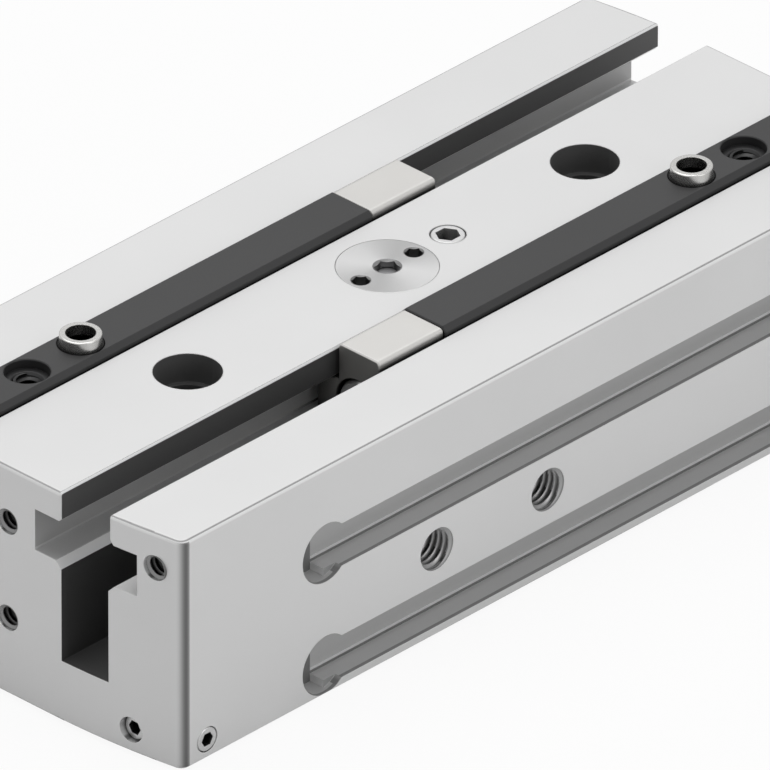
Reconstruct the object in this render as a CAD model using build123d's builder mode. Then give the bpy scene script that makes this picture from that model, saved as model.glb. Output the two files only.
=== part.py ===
import os
from math import acos, cos, pi, radians, sin, tan

from build123d import *

# Long-stroke parallel gripper, in millimetres. X runs along the housing, Y across it, Z up.
# The origin is in the middle of the housing's foot. Jaw a runs in the groove at +Y and jaw b in
# the one at -Y. Jaw b, with all that drives it, is jaw a turned half a turn about Z.
# Both jaws stand fully open here.

# Housing block
housing_length = 115.4
housing_width = 48.4
housing_height = 28.3
foot_width = 15.4
foot_drop = 0.28
end_flat_width = 12.0
end_arc_radius = 106.0
corner_radius = 1.25
top_edge_radius = 0.45
bottom_edge_chamfer = 0.25

# T-groove of one jaw
groove_spacing = 22.4
mouth_width = 6.8
lip_thickness = 3.5
tee_width = 14.3
tee_floor_depth = 8.5
outer_lip_chamfer = 0.65
inner_lip_chamfer = 0.2
mouth_edge_chamfer = 0.2

# Deep slot under the open half of a groove
slot_width = 6.6
slot_floor_depth = 20.6
slot_edge_chamfer = 0.85

# Jaw travel and stations along X, as distances from the middle of the housing
stroke = 40.0
block_inner = 6.1
block_outer = 16.0
slide_outer = 55.5
slot_inner = 5.5

# Jaw slide and driver block
slide_side_play = 0.15
tee_play = 0.2
flange_width = 12.3
slide_rise = 0.9
slide_edge_chamfer = 0.55
block_neck_width = 6.0
block_rise = 0.75
block_edge_radius = 0.5
block_web_width = 6.0
web_floor_play = 0.4
joint_edge_chamfer = 0.15

# Screw that holds the driver block to the slide
driver_head_radius = 3.1
driver_head_height = 2.2
driver_shank_radius = 2.0
driver_screw_length = 18.0
driver_seat_radius = 3.4
driver_seat_depth = 2.3
driver_axis_depth = 6.05
driver_socket_flats = 3.0

# Finger interface on a slide: a hole with a centring sleeve and a plain screw hole
sleeve_station = 35.2
finger_screw_station = 43.3
sleeve_radius = 2.5
sleeve_bore_radius = 1.66
sleeve_fit = 0.02
sleeve_free_radius = 2.32
sleeve_edge_radius = 0.15
sleeve_proud = 1.3
finger_thread_radius = 1.5
finger_thread_depth = 7.4
finger_seat_depth = 1.1
finger_seat_chamfer = 0.12
finger_thread_chamfer = 0.3

# Rack and pinion
gear_module = 0.6
pinion_teeth = 16
pressure_angle = 20.0
tooth_addendum = 0.5
tooth_dedendum = 0.65
tooth_backlash = 0.08
rack_teeth = 25
rack_lead_teeth = 2
rack_end_margin = 0.45
rack_pocket_play = 0.05
rack_screw_radius = 1.0
rack_screw_head_radius = 1.9
rack_screw_head_height = 1.3
rack_screw_socket = 1.6
rack_screw_bite = 2.0
rack_screw_inner = 9.0
rack_screw_outer = 29.0
pinion_bore_radius = 2.2
axle_radius = 1.36
axle_fit = 0.02
axle_edge_chamfer = 0.2
axle_sunk = 0.9
axle_depth = 14.0
washer_radius = 3.6
washer_thickness = 0.3
washer_play = 0.05

# Cover over the pinion
cover_radius = 5.6
cover_thickness = 3.0
cover_fit = 0.03
cover_bore_radius = 1.4
cover_socket_flats = 2.5
cover_socket_mouth = 1.6
key_hole_flats = 1.8
key_hole_mouth = 1.12
key_hole_offset = 4.07
key_hole_depth = 1.8
pinion_pit_depth = 8.6
cover_edge_chamfer = 0.04

# Set screw beside the cover
grub_station = 9.3
grub_radius = 2.0
grub_length = 4.0
grub_socket_flats = 2.4
grub_hole_depth = 6.0

# Vertical mounting bores
mount_spacing = 60.9
mount_seat_radius = 3.75
mount_seat_depth = 3.5
mount_bore_radius = 3.2

# Cylinders
cylinder_radius = 6.0
cylinder_axis_depth = 17.4
chamber_inner = 1.5
cap_inner = 53.4
cap_thickness = 3.1
ring_thickness = 0.8
ring_groove_depth = 0.6
ring_radial_width = 1.2
ring_gap = 4.0
ring_ear_radius = 1.1
ring_ear_hole_radius = 0.5
ring_ear_offset = 4.4
cap_thread_radius = 1.25
cap_thread_floor = 1.0
cylinder_fit = 0.03

# Rod and gland
rod_radius = 2.5
rod_fit = 0.05
gland_seal_width = 1.2
gland_seal_depth = 0.9
rod_seal_wall = 1.6
rod_seal_length = 1.8

# Piston
piston_rest = 51.9
piston_length = 9.9
piston_play = 0.12
piston_seal_play = 0.07
piston_groove_depth = 1.5
piston_seal_width = 1.8
magnet_width = 2.4
guide_width = 1.8
guide_depth = 0.8
piston_land = 0.9
groove_slack = 0.05

# Screws at the two ends of a rod
rod_screw_radius = 1.25
rod_screw_socket = 2.0
rod_screw_head_radius = 2.2
rod_screw_head_height = 1.8
rod_screw_seat_radius = 2.35
piston_screw_radius = 1.5
piston_screw_socket = 2.5
piston_screw_head_radius = 2.6
piston_screw_head_height = 1.6
rod_thread_depth = 7.0
thread_end_play = 1.0
rod_edge_chamfer = 0.25
screw_fit = 0.03
socket_share = 0.5
head_edge_share = 0.1
socket_turn = 14.0
socket_mouth_depth = 0.22
socket_mouth_angle = 55.0

# Sensor grooves in the side faces
sensor_width = 5.2
sensor_upper_depth = 10.55
sensor_lower_depth = 24.35
sensor_depth = 2.95
sensor_step_width = 4.5
sensor_step_depth = 0.38
sensor_start = 33.8
keyhole_radius = 3.55
keyhole_station = 34.4
keyhole_shallow_depth = 1.0

# Air ports and ducts
port_radius = 2.5
port_depth = 6.0
port_open_station = 0.5
port_close_station = 17.5
duct_radius = 1.0
long_duct_offset = 17.5
long_duct_depth = 25.3
cross_duct_station = 52.4
cross_duct_depth = 25.7
plug_radius = 1.5
plug_length = 3.0
plug_socket_flats = 1.5
end_plug_recess = 1.2

# Threads in the end faces: place across, place below the top, depth
end_thread_radius = 1.5
end_threads = (
    (0.0, 6.75, 6.0),
    (0.0, 18.6, 5.75),
    (20.7, 4.2, 5.5),
    (-20.7, 4.2, 5.25),
)

# How near an edge or a corner must lie to the place where it is looked for
on_edge = 0.01

# Values worked out from those above
top = housing_height
half_length = housing_length / 2
half_width = housing_width / 2
groove_y = groove_spacing / 2
tee_height = tee_floor_depth - lip_thickness
cylinder_z = top - cylinder_axis_depth
ring_outer_face = cap_inner + cap_thickness + ring_thickness
pitch_radius = gear_module * pinion_teeth / 2
tooth_pitch = pi * gear_module
flange_top = top - lip_thickness - tee_play
flange_bottom = top - tee_floor_depth + tee_play
flange_height = flange_top - flange_bottom
flange_mid = (flange_top + flange_bottom) / 2
slide_top = top + slide_rise
slide_neck_width = mouth_width - 2 * slide_side_play
web_bottom = top - slot_floor_depth + web_floor_play
sleeve_top = slide_top + sleeve_proud
rack_length = rack_teeth * tooth_pitch + 2 * rack_end_margin
rack_middle = -(rack_teeth / 2 - rack_lead_teeth) * tooth_pitch
rack_back = groove_y - slide_neck_width / 2
rack_root = pitch_radius + tooth_dedendum
rack_tip = pitch_radius - tooth_addendum
pinion_face = pinion_pit_depth - cover_thickness - 2 * washer_thickness - 4 * washer_play
pinion_bottom = top - pinion_pit_depth + washer_thickness + 2 * washer_play
piston_inner = piston_rest - piston_length

end_planes = [
    Plane(origin=(side * half_length, 0, 0), x_dir=(0, side, 0), z_dir=(side, 0, 0)) for side in (-1, 1)
]
side_planes = [
    Plane(origin=(0, side * half_width, 0), x_dir=(-side, 0, 0), z_dir=(0, side, 0)) for side in (-1, 1)
]
front_plane = side_planes[0]


def groove_plane(station, side=1, height=0.0):
    """A plane across the groove at +Y (side 1) or -Y (side -1), seen from the middle of the housing.

    Its normal runs along +X in the groove at +Y, and half a turn from that in the other."""
    return Plane(origin=(side * station, side * groove_y, height), x_dir=(0, side, 0), z_dir=(side, 0, 0))


def save(part, name):
    part.label = name
    export_step(part, f"parts/{name}.step")


def save_pair(part, name):
    """Write a piece of jaw a, and the same piece turned half a turn for jaw b."""
    save(part, f"{name}_a")
    save(part.rotate(Axis.Z, 180), f"{name}_b")


def ring(plane, inner_radius, outer_radius, length):
    """A plain ring that starts on the plane and runs along its normal."""
    with BuildPart() as body:
        with BuildSketch(plane):
            Circle(outer_radius)
            Circle(inner_radius, mode=Mode.SUBTRACT)
        extrude(amount=length)
    return body.part


def cap_screws(planes, head_radius, head_height, shank_radius, shank_length, socket_flats):
    """Socket head screws. Each plane lies under a head, and the shank runs against its normal."""
    with BuildPart() as body:
        with BuildSketch(*planes):
            Circle(head_radius)
        extrude(amount=head_height)
        chamfer(body.edges().filter_by(GeomType.CIRCLE), head_edge_share * head_radius)
        with BuildSketch(*planes):
            Circle(shank_radius - screw_fit)
        extrude(amount=-shank_length)
        with BuildSketch(*[plane.offset(head_height) for plane in planes]):
            RegularPolygon(socket_flats / 2, 6, major_radius=False)
        extrude(amount=-socket_share * head_height, mode=Mode.SUBTRACT)
    return body.part


def set_screws(planes, radius, length, socket_flats):
    """Headless screws whose sockets open on the planes."""
    with BuildPart() as body:
        with BuildSketch(*planes):
            Circle(radius - screw_fit)
        extrude(amount=-length)
        chamfer(body.edges().filter_by(GeomType.CIRCLE), head_edge_share * radius)
        with BuildSketch(*planes):
            RegularPolygon(socket_flats / 2, 6, major_radius=False)
        extrude(amount=-socket_share * length, mode=Mode.SUBTRACT)
    return body.part


os.makedirs("parts", exist_ok=True)

# Housing: plan outline with slightly bowed ends, and the section of one groove

end_arc_sag = end_arc_radius - (end_arc_radius**2 - (half_width - end_flat_width / 2) ** 2) ** 0.5

with BuildSketch() as plan:
    with BuildLine():
        for side in (-1, 1):
            flat = Line((side * half_length, -end_flat_width / 2), (side * half_length, end_flat_width / 2))
            TangentArc(flat @ 1, (side * (half_length - end_arc_sag), half_width), tangent=(0, 1))
            TangentArc(flat @ 0, (side * (half_length - end_arc_sag), -half_width), tangent=(0, -1))
            Line(
                (half_length - end_arc_sag, side * half_width), (end_arc_sag - half_length, side * half_width)
            )
    make_face()
    corners = plan.vertices().group_by(Axis.Y)
    fillet(corners[0] + corners[-1], corner_radius)

with BuildSketch() as groove_section:
    with Locations((0, top - lip_thickness / 2)):
        Rectangle(mouth_width, lip_thickness)
    with Locations((0, top - lip_thickness - tee_height / 2)):
        Rectangle(tee_width, tee_height)
    lip_corners = groove_section.vertices().group_by(Axis.Y)[1].sort_by(Axis.X)
    chamfer(lip_corners[1], inner_lip_chamfer)
    chamfer(lip_corners[2], outer_lip_chamfer)

with BuildSketch() as slot_section:
    with Locations((0, top - (tee_floor_depth + slot_floor_depth) / 2)):
        Rectangle(slot_width, slot_floor_depth - tee_floor_depth)
    with Locations((0, top - tee_floor_depth)):
        Trapezoid(slot_width + 4 * slot_edge_chamfer, 2 * slot_edge_chamfer, 45, rotation=180)

with BuildPart() as housing:
    with BuildSketch(Plane.XY.offset(foot_drop)):
        add(plan.sketch)
    extrude(amount=housing_height - foot_drop)
    fillet(housing.faces().sort_by(Axis.Z)[-1].outer_wire().edges(), top_edge_radius)
    chamfer(housing.faces().sort_by(Axis.Z)[0].outer_wire().edges(), bottom_edge_chamfer)
    with BuildSketch(Plane.XY):
        add(plan.sketch)
        Rectangle(housing_length - 4 * foot_drop, foot_width, mode=Mode.INTERSECT)
    extrude(amount=foot_drop + bottom_edge_chamfer)

    with BuildSketch(*[groove_plane(-half_length, side) for side in (-1, 1)]):
        add(groove_section.sketch)
    extrude(amount=housing_length, mode=Mode.SUBTRACT)
    with BuildSketch(*[groove_plane(slot_inner, side) for side in (-1, 1)]):
        add(slot_section.sketch)
    extrude(amount=half_length, mode=Mode.SUBTRACT)
    top_face = housing.faces().filter_by(Axis.Z).filter_by_position(Axis.Z, top - on_edge, top + on_edge)
    long_edges = top_face.edges().filter_by(Axis.X)
    chamfer(
        long_edges.filter_by_position(Axis.Y, corner_radius - half_width, half_width - corner_radius),
        mouth_edge_chamfer,
    )

    # Pinion pit under its cover, hole for the pinion's axle, and the set screw's hole
    with BuildSketch(Plane.XY.offset(top)):
        Circle(cover_radius)
    extrude(amount=-pinion_pit_depth, mode=Mode.SUBTRACT)
    with BuildSketch(Plane.XY.offset(top)):
        Circle(axle_radius)
    extrude(amount=-axle_depth, mode=Mode.SUBTRACT)
    with BuildSketch(Plane.XY.offset(top)):
        with Locations((grub_station, 0)):
            Circle(grub_radius)
    extrude(amount=-grub_hole_depth, mode=Mode.SUBTRACT)

    # Mounting bores, seated for centring sleeves at the top and at the foot
    with BuildSketch(Plane.XY):
        with GridLocations(mount_spacing, 1, 2, 1):
            Circle(mount_bore_radius)
    extrude(amount=top, mode=Mode.SUBTRACT)
    with BuildSketch(Plane.XY, Plane.XY.offset(top - mount_seat_depth)):
        with GridLocations(mount_spacing, 1, 2, 1):
            Circle(mount_seat_radius)
    extrude(amount=mount_seat_depth, mode=Mode.SUBTRACT)

    # Cylinders with grooves for the retaining rings of their caps
    with BuildSketch(*[groove_plane(-half_length, side, cylinder_z) for side in (-1, 1)]):
        Circle(cylinder_radius)
    extrude(amount=half_length + slot_inner, mode=Mode.SUBTRACT)
    with BuildSketch(*[groove_plane(-ring_outer_face, side, cylinder_z) for side in (-1, 1)]):
        Circle(cylinder_radius + ring_groove_depth)
    extrude(amount=ring_thickness, mode=Mode.SUBTRACT)

    # Sensor grooves from a keyhole out through one end, on both side faces
    for depth_below_top in (sensor_upper_depth, sensor_lower_depth):
        groove_z = top - depth_below_top
        for width, depth in ((sensor_width, sensor_depth), (sensor_step_width, sensor_depth + sensor_step_depth)):
            with BuildSketch(*side_planes):
                with Locations(((half_length - sensor_start) / 2, groove_z)):
                    Rectangle(half_length + sensor_start, width)
            extrude(amount=-depth, mode=Mode.SUBTRACT)
        with BuildSketch(*side_planes):
            with Locations((-keyhole_station, groove_z)):
                Circle(keyhole_radius)
        extrude(amount=-keyhole_shallow_depth, mode=Mode.SUBTRACT)
        with BuildSketch(*side_planes):
            with Locations((-keyhole_station, groove_z)):
                Circle(keyhole_radius)
            with Locations((-sensor_start + keyhole_radius, groove_z)):
                Rectangle(2 * keyhole_radius, 2 * keyhole_radius, mode=Mode.SUBTRACT)
        extrude(amount=-sensor_depth, mode=Mode.SUBTRACT)

    # Air ports in the front face. The middle one feeds both inner chambers straight across.
    with BuildSketch(front_plane):
        with Locations((-port_open_station, cylinder_z), (-port_close_station, cylinder_z)):
            Circle(port_radius)
    extrude(amount=-port_depth, mode=Mode.SUBTRACT)
    with BuildSketch(front_plane):
        with Locations((-port_open_station, cylinder_z)):
            Circle(duct_radius)
    extrude(amount=-(half_width + groove_y), mode=Mode.SUBTRACT)

    # The other port feeds the outer chambers through a slanted duct, a long one and two cross ducts
    slant_start = Vector(-port_close_station, port_depth - half_width - duct_radius, cylinder_z)
    slant_end = Vector(-port_close_station, -long_duct_offset, top - long_duct_depth)
    slant = slant_end - slant_start
    with BuildSketch(Plane(origin=slant_start, x_dir=(1, 0, 0), z_dir=slant)):
        Circle(duct_radius)
    extrude(amount=slant.length, mode=Mode.SUBTRACT)
    with BuildSketch(end_planes[0]):
        with Locations((long_duct_offset, top - long_duct_depth)):
            Circle(duct_radius)
    extrude(amount=-housing_length, mode=Mode.SUBTRACT)
    with BuildSketch(*side_planes):
        with Locations((-cross_duct_station, top - cross_duct_depth)):
            Circle(duct_radius)
    extrude(amount=-(half_width + groove_y), mode=Mode.SUBTRACT)
    with BuildSketch(Plane.XY.offset(top - cross_duct_depth)):
        with Locations((-cross_duct_station, groove_y), (cross_duct_station, -groove_y)):
            Circle(duct_radius)
    extrude(amount=cross_duct_depth - cylinder_axis_depth - cylinder_radius / 2, mode=Mode.SUBTRACT)
    with BuildSketch(side_planes[1]):
        with Locations((-cross_duct_station, top - cross_duct_depth)):
            Circle(duct_radius)
    extrude(amount=-(half_width + long_duct_offset), mode=Mode.SUBTRACT)

    # Threaded seats of the duct plugs
    with BuildSketch(*side_planes):
        with Locations((-cross_duct_station, top - cross_duct_depth)):
            Circle(plug_radius)
    extrude(amount=-plug_length, mode=Mode.SUBTRACT)
    with BuildSketch(end_planes[0]):
        with Locations((long_duct_offset, top - long_duct_depth)):
            Circle(plug_radius)
    extrude(amount=-(end_plug_recess + plug_length), mode=Mode.SUBTRACT)
    with BuildSketch(end_planes[1]):
        with Locations((-long_duct_offset, top - long_duct_depth)):
            Circle(plug_radius)
    extrude(amount=-(end_plug_recess + plug_length), mode=Mode.SUBTRACT)

    # Threaded holes in both end faces
    for across, below_top, depth in end_threads:
        with BuildSketch(*end_planes):
            with Locations((across, top - below_top)):
                Circle(end_thread_radius)
        extrude(amount=-depth, mode=Mode.SUBTRACT)

save(housing.part, "housing")

# Cover, axle, pinion and what turns with it

with BuildPart() as pinion_cover:
    with BuildSketch(Plane.XY.offset(top)):
        Circle(cover_radius - cover_fit)
    extrude(amount=-cover_thickness)
    chamfer(pinion_cover.edges().filter_by(GeomType.CIRCLE).sort_by(Axis.Z)[-1], cover_edge_chamfer)
    with BuildSketch(Plane.XY.offset(top - cover_thickness)):
        Circle(cover_bore_radius)
    extrude(amount=cover_thickness - axle_sunk + axle_fit, mode=Mode.SUBTRACT)
    with BuildSketch(Plane.XY.offset(top)):
        RegularPolygon(cover_socket_flats / 2, 6, major_radius=False, rotation=socket_turn)
    extrude(amount=-axle_sunk, mode=Mode.SUBTRACT)
    with BuildSketch(Plane.XY.offset(top)):
        with GridLocations(2 * key_hole_offset, 1, 2, 1):
            RegularPolygon(key_hole_flats / 2, 6, major_radius=False, rotation=socket_turn)
    extrude(amount=-key_hole_depth, mode=Mode.SUBTRACT)
    with BuildSketch(Plane.XY.offset(top)):
        Circle(cover_socket_mouth)
        with GridLocations(2 * key_hole_offset, 1, 2, 1):
            Circle(key_hole_mouth)
    extrude(amount=-socket_mouth_depth, taper=socket_mouth_angle, mode=Mode.SUBTRACT)
save(pinion_cover.part, "pinion_cover")

with BuildPart() as pinion_axle:
    with BuildSketch(Plane.XY.offset(top - axle_depth)):
        Circle(axle_radius - axle_fit)
    extrude(amount=axle_depth - axle_sunk)
    chamfer(pinion_axle.edges().filter_by(GeomType.CIRCLE), axle_edge_chamfer)
save(pinion_axle.part, "pinion_axle")

with BuildPart() as pinion_washers:
    lower_washer = top - pinion_pit_depth + washer_play
    upper_washer = top - cover_thickness - washer_thickness - washer_play
    with BuildSketch(Plane.XY.offset(lower_washer), Plane.XY.offset(upper_washer)):
        Circle(washer_radius)
        Circle(cover_bore_radius, mode=Mode.SUBTRACT)
    extrude(amount=washer_thickness)
save(pinion_washers.part, "pinion_washers")

# One pinion tooth about +X: involute flanks between the root and the tip

base_radius = pitch_radius * cos(radians(pressure_angle))
tip_radius = pitch_radius + tooth_addendum
root_radius = pitch_radius - tooth_dedendum


def involute(angle):
    return tan(angle) - angle


def flank_point(radius, side):
    """A point of the flank at this radius. Side is 1 above the tooth's middle line and -1 below it."""
    half_angle = pi / (2 * pinion_teeth) - tooth_backlash / (2 * pitch_radius)
    roll = involute(radians(pressure_angle)) - involute(acos(base_radius / radius))
    return Vector(radius, 0).rotate(Axis.Z, side * (half_angle + roll) * 180 / pi)


with BuildSketch() as tooth:
    with BuildLine():
        flank_radii = [base_radius, (base_radius + tip_radius) / 2, tip_radius]
        upper = Spline(*[flank_point(radius, 1) for radius in flank_radii])
        lower = Spline(*[flank_point(radius, -1) for radius in flank_radii])
        RadiusArc(upper @ 1, lower @ 1, tip_radius)
        heel = root_radius - tooth_dedendum
        Polyline(upper @ 0, (heel, (upper @ 0).Y), (heel, (lower @ 0).Y), lower @ 0)
    make_face()

with BuildPart() as pinion:
    with BuildSketch(Plane.XY.offset(pinion_bottom)):
        Circle(root_radius)
        with PolarLocations(0, pinion_teeth):
            add(tooth.sketch)
        Circle(pinion_bore_radius, mode=Mode.SUBTRACT)
    extrude(amount=pinion_face)
save(pinion.part, "pinion")

bush_radius = pinion_bore_radius - screw_fit
save(ring(Plane.XY.offset(pinion_bottom), cover_bore_radius, bush_radius, pinion_face), "pinion_bush")

# Set screws

cover_grub_screw = set_screws(
    [Plane(origin=(grub_station, 0, top))], grub_radius, grub_length, grub_socket_flats
)
save(cover_grub_screw, "cover_grub_screw")

side_plug_planes = [
    plane.shift_origin(plane.from_local_coords((-cross_duct_station, top - cross_duct_depth)))
    for plane in side_planes
]
save(set_screws(side_plug_planes, plug_radius, plug_length, plug_socket_flats), "side_duct_plugs")

end_plug_planes = [
    Plane(
        origin=(plane.origin.X, -long_duct_offset, top - long_duct_depth), x_dir=plane.x_dir, z_dir=plane.z_dir
    ).offset(-end_plug_recess)
    for plane in end_planes
]
save(set_screws(end_plug_planes, plug_radius, plug_length, plug_socket_flats), "end_duct_plugs")

# Cylinder fittings of jaw a, which has its cylinder at -X

cap_plane = groove_plane(-cap_inner - cap_thickness, 1, cylinder_z)
fitting_radius = cylinder_radius - cylinder_fit
seal_inner_radius = fitting_radius - gland_seal_depth

with BuildPart() as cylinder_cap:
    with BuildSketch(cap_plane):
        Circle(fitting_radius)
    extrude(amount=cap_thickness)
    with BuildSketch(cap_plane.offset((cap_thickness - gland_seal_width) / 2 - groove_slack)):
        Circle(cylinder_radius)
        Circle(seal_inner_radius - groove_slack, mode=Mode.SUBTRACT)
    extrude(amount=gland_seal_width + 2 * groove_slack, mode=Mode.SUBTRACT)
    with BuildSketch(cap_plane):
        Circle(cap_thread_radius)
    extrude(amount=cap_thickness - cap_thread_floor, mode=Mode.SUBTRACT)
save_pair(cylinder_cap.part, "cylinder_cap")

cap_seal = ring(
    cap_plane.offset((cap_thickness - gland_seal_width) / 2), seal_inner_radius, fitting_radius, gland_seal_width
)
save_pair(cap_seal, "cap_seal")

with BuildPart() as cap_retaining_ring:
    ring_outer_radius = cylinder_radius + ring_groove_depth - groove_slack
    with BuildSketch(cap_plane.offset(-ring_thickness)):
        Circle(ring_outer_radius)
        Circle(ring_outer_radius - ring_radial_width, mode=Mode.SUBTRACT)
        with Locations((0, -cylinder_radius)):
            Rectangle(ring_gap, 2 * ring_radial_width, mode=Mode.SUBTRACT)
        with GridLocations(ring_gap + 2 * ring_ear_radius, 1, 2, 1):
            with Locations((0, -ring_ear_offset)):
                Circle(ring_ear_radius)
                Circle(ring_ear_hole_radius, mode=Mode.SUBTRACT)
    extrude(amount=ring_thickness)
save_pair(cap_retaining_ring.part, "cap_retaining_ring")

gland_plane = groove_plane(chamber_inner, 1, cylinder_z)
gland_length = slot_inner - chamber_inner
rod_bore_radius = rod_radius + rod_fit
rod_seal_radius = rod_bore_radius + rod_seal_wall

with BuildPart() as rod_gland:
    with BuildSketch(gland_plane):
        Circle(fitting_radius)
        Circle(rod_bore_radius, mode=Mode.SUBTRACT)
    extrude(amount=gland_length)
    with BuildSketch(gland_plane):
        Circle(rod_seal_radius + groove_slack)
    extrude(amount=rod_seal_length + groove_slack, mode=Mode.SUBTRACT)
    with BuildSketch(gland_plane.offset(gland_length - 2 * gland_seal_width - groove_slack)):
        Circle(cylinder_radius)
        Circle(seal_inner_radius - groove_slack, mode=Mode.SUBTRACT)
    extrude(amount=gland_seal_width + 2 * groove_slack, mode=Mode.SUBTRACT)
save_pair(rod_gland.part, "rod_gland")

save_pair(ring(gland_plane, rod_bore_radius, rod_seal_radius, rod_seal_length), "rod_seal")
gland_seal = ring(
    gland_plane.offset(gland_length - 2 * gland_seal_width), seal_inner_radius, fitting_radius, gland_seal_width
)
save_pair(gland_seal, "gland_seal")

# Jaw slide a, with the seats of its finger screws, rack and driver screw

rack_screw_plane = Plane(
    origin=(0, groove_y + flange_width / 2, flange_mid), x_dir=(-1, 0, 0), z_dir=(0, 1, 0)
)
rack_screw_places = [(rack_screw_inner, 0), (rack_screw_outer, 0)]
driver_shank_length = driver_screw_length - driver_head_height
driver_seat_plane = groove_plane(block_outer - driver_seat_depth, 1, top - driver_axis_depth)
driver_thread_depth = driver_shank_length - (block_outer - driver_seat_depth - block_inner) + thread_end_play

with BuildPart() as jaw_slide:
    with BuildSketch(groove_plane(-slide_outer)):
        with Locations((0, flange_mid)):
            Rectangle(flange_width, flange_height)
        with Locations((0, (flange_mid + slide_top) / 2)):
            Rectangle(slide_neck_width, slide_top - flange_mid)
    extrude(amount=slide_outer + block_inner)
    chamfer(jaw_slide.faces().sort_by(Axis.Z)[-1].edges().filter_by(Axis.X), slide_edge_chamfer)
    ends = jaw_slide.faces().sort_by(Axis.X)
    chamfer(ends[0].edges() + ends[-1].edges(), joint_edge_chamfer)
    with BuildSketch(Plane.XY.offset(flange_bottom)):
        with Locations((rack_middle, (rack_back + rack_pocket_play) / 2)):
            Rectangle(rack_length + 2 * rack_pocket_play, rack_back + rack_pocket_play)
    extrude(amount=flange_height, mode=Mode.SUBTRACT)
    with BuildSketch(Plane.XY.offset(slide_top)):
        with Locations((-sleeve_station, groove_y), (-finger_screw_station, groove_y)):
            Circle(sleeve_radius)
    extrude(amount=-finger_seat_depth, mode=Mode.SUBTRACT)
    with BuildSketch(Plane.XY.offset(slide_top)):
        with Locations((-sleeve_station, groove_y), (-finger_screw_station, groove_y)):
            Circle(finger_thread_radius)
    extrude(amount=-finger_thread_depth, mode=Mode.SUBTRACT)
    finger_holes = jaw_slide.edges().filter_by(GeomType.CIRCLE)
    seat_mouths = finger_holes.filter_by_position(Axis.Z, slide_top - on_edge, slide_top + on_edge)
    chamfer(seat_mouths, finger_seat_chamfer)
    seat_z = slide_top - finger_seat_depth
    seat_circles = finger_holes.filter_by_position(Axis.Z, seat_z - on_edge, seat_z + on_edge)
    chamfer(seat_circles.sort_by(SortBy.RADIUS)[0:2], finger_thread_chamfer)
    with BuildSketch(groove_plane(block_inner, 1, top - driver_axis_depth)):
        Circle(driver_shank_radius)
    extrude(amount=-driver_thread_depth, mode=Mode.SUBTRACT)
    with BuildSketch(rack_screw_plane):
        with Locations(*rack_screw_places):
            Circle(rack_screw_radius)
    extrude(amount=-flange_width, mode=Mode.SUBTRACT)
    with BuildSketch(rack_screw_plane):
        with Locations(*rack_screw_places):
            Circle(rack_screw_head_radius + groove_slack)
    extrude(amount=-(rack_screw_head_height + groove_slack), mode=Mode.SUBTRACT)
save_pair(jaw_slide.part, "jaw_slide")

# Driver block a, at the slide's inner end: neck, flange, and a web down in the deep slot

with BuildPart() as driver_block:
    with BuildSketch(groove_plane(block_inner)):
        with Locations((0, flange_mid)):
            Rectangle(flange_width, flange_height)
        with Locations((0, (top + block_rise + web_bottom) / 2)):
            Rectangle(block_neck_width, top + block_rise - web_bottom)
    extrude(amount=block_outer - block_inner)
    fillet(driver_block.faces().sort_by(Axis.Z)[-1].edges().filter_by(Axis.X), block_edge_radius)
    ends = driver_block.faces().sort_by(Axis.X)
    chamfer(ends[0].edges() + ends[-1].edges(), joint_edge_chamfer)
    with BuildSketch(driver_seat_plane):
        Circle(driver_seat_radius)
    extrude(amount=driver_seat_depth, mode=Mode.SUBTRACT)
    with BuildSketch(driver_seat_plane):
        Circle(driver_shank_radius)
    extrude(amount=-(block_outer - block_inner), mode=Mode.SUBTRACT)
    with BuildSketch(groove_plane(block_outer - rod_screw_head_height - groove_slack, 1, cylinder_z)):
        Circle(rod_screw_seat_radius)
    extrude(amount=rod_screw_head_height + groove_slack, mode=Mode.SUBTRACT)
    with BuildSketch(groove_plane(block_outer, 1, cylinder_z)):
        Circle(rod_screw_radius)
    extrude(amount=block_inner - block_outer, mode=Mode.SUBTRACT)
save_pair(driver_block.part, "driver_block")

driver_screw = cap_screws(
    [driver_seat_plane],
    driver_head_radius,
    driver_head_height,
    driver_shank_radius,
    driver_shank_length,
    driver_socket_flats,
)
save_pair(driver_screw, "driver_screw")

# Centring sleeve for a finger

with BuildPart() as centring_sleeve:
    with BuildSketch(Plane.XY.offset(slide_top)):
        with Locations((-sleeve_station, groove_y)):
            Circle(sleeve_radius - sleeve_fit)
    extrude(amount=-finger_seat_depth)
    with BuildSketch(Plane.XY.offset(slide_top)):
        with Locations((-sleeve_station, groove_y)):
            Circle(sleeve_free_radius)
    extrude(amount=sleeve_proud)
    fillet(centring_sleeve.edges().filter_by(GeomType.CIRCLE).sort_by(Axis.Z)[-1], sleeve_edge_radius)
    with BuildSketch(Plane.XY.offset(sleeve_top)):
        with Locations((-sleeve_station, groove_y)):
            Circle(sleeve_bore_radius)
    extrude(amount=-(sleeve_proud + finger_seat_depth), mode=Mode.SUBTRACT)
save_pair(centring_sleeve.part, "centring_sleeve")

# Rack a, with straight-sided teeth that point at the pinion

rack_tooth_tip = tooth_pitch / 2 - tooth_backlash - 2 * tooth_addendum * tan(radians(pressure_angle))
rack_tooth_height = tooth_addendum + tooth_dedendum

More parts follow.
